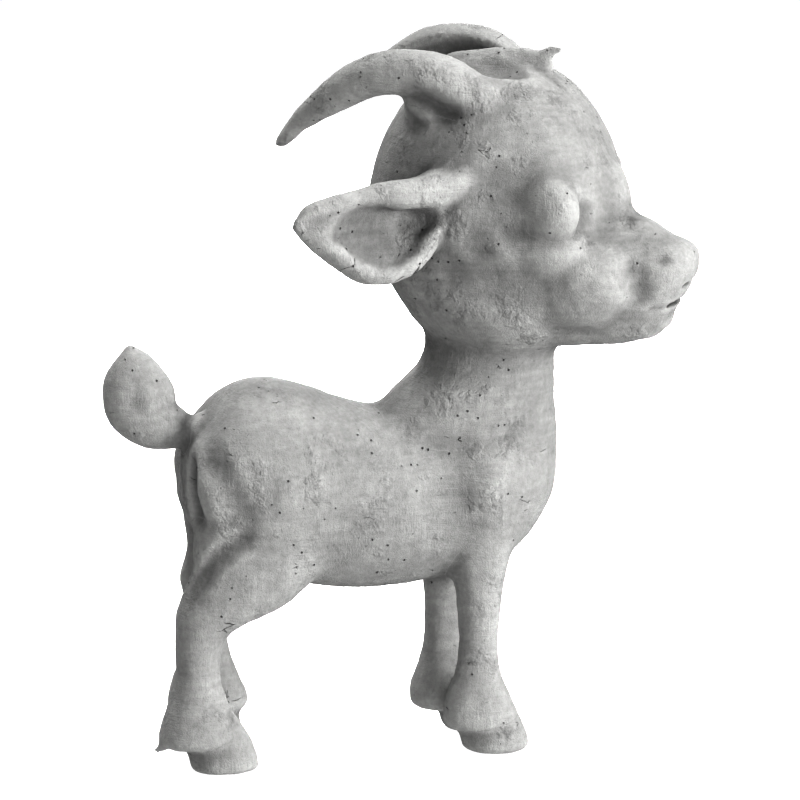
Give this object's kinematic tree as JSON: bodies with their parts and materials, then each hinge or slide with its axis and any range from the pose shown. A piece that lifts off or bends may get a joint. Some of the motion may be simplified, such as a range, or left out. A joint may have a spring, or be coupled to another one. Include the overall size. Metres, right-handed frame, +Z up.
{
  "type": "goat figurine",
  "caption": "Standing goat kid figurine in matte white clay: head turned to its right, swept-back horns, leaf ears, short curled tail and flat cloven hooves.",
  "frame": {"origin": "the middle of the figure's outline on the surface it stands on", "axes": "+X the way the body faces, +Y the goat's left, +Z up"},
  "size_m": [0.1877, 0.1262, 0.2328],
  "materials": {
    "clay": "matte, unglazed, dry modelling clay with pits and drag marks",
    "hoof_clay": "matte, unglazed, dry modelling clay",
    "foam": "white polystyrene foam",
    "pin_steel": "drawn steel rod",
    "wire": "galvanised soft wire"
  },
  "bodies": {
    "root": {"torso": "clay", "neck": "clay", "head": "clay", "right_eye": "clay", "left_eye": "clay", "right_ear": "clay", "left_ear": "clay", "right_horn": "clay", "left_horn": "clay", "forelock": "clay", "tail": "clay", "right_foreleg": "clay", "left_foreleg": "clay", "right_hind_leg": "clay", "left_hind_leg": "clay", "right_fore_hoof": "hoof_clay", "left_fore_hoof": "hoof_clay", "right_hind_hoof": "hoof_clay", "left_hind_hoof": "hoof_clay", "body_core": "foam", "head_core": "foam", "neck_rod": "pin_steel", "tail_pin": "pin_steel", "forelock_pin": "pin_steel", "right_horn_pin": "pin_steel", "left_horn_pin": "pin_steel", "right_ear_pin": "pin_steel", "left_ear_pin": "pin_steel", "right_fore_wire": "wire", "left_fore_wire": "wire", "right_hind_wire": "wire", "left_hind_wire": "wire"}
  },
  "joints": []
}
